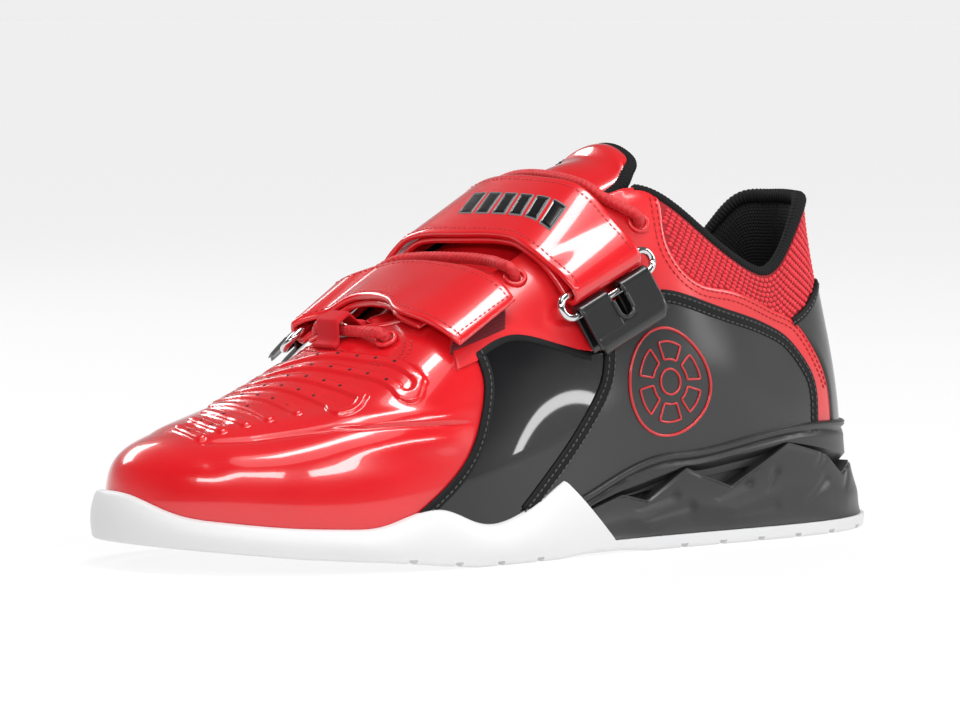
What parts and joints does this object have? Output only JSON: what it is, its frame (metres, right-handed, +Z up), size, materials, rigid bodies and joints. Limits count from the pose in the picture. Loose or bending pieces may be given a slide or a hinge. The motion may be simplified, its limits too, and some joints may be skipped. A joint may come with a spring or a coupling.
{
  "type": "weightlifting shoe",
  "caption": "Low weightlifting shoe in red and black leather with a raised hard heel, white outsole, and two instep straps through metal rings.",
  "frame": {"origin": "centre of the shoe's box on the floor under the sole", "axes": "+X from heel to toe, +Y to the lateral side of the left foot, +Z up"},
  "size_m": [0.2932, 0.1102, 0.1324],
  "materials": {
    "white_rubber": "smooth moulded",
    "black_rubber": "satin moulded",
    "insole_foam": "matt cloth on foam",
    "red_leather": "patent",
    "black_leather": "patent",
    "black_knit": "ribbed",
    "red_tape": "patent",
    "red_cord": "woven",
    "chrome": "polished"
  },
  "bodies": {
    "root": {"outsole": "white_rubber", "heel_wedge": "black_rubber", "insole": "insole_foam", "upper": "red_leather", "saddle_lateral": "black_leather", "saddle_medial": "black_leather", "quarter_lateral": "black_leather", "quarter_medial": "black_leather", "heel_counter": "black_leather", "collar_binding": "black_knit", "tongue": "red_leather", "lower_strap": "red_tape", "upper_strap": "red_tape", "lower_ring": "chrome", "upper_ring": "chrome", "lower_tab_front": "black_leather", "lower_tab_rear": "black_leather", "upper_tab_front": "black_leather", "upper_tab_rear": "black_leather", "lace_front": "red_cord", "lace_middle": "red_cord", "lace_top": "red_cord", "lace_keeper": "red_leather", "eyelet_front_lateral": "red_leather", "eyelet_front_medial": "red_leather", "eyelet_middle_lateral": "red_leather", "eyelet_middle_medial": "red_leather", "eyelet_top_lateral": "red_leather", "eyelet_top_medial": "red_leather"}
  },
  "joints": []
}
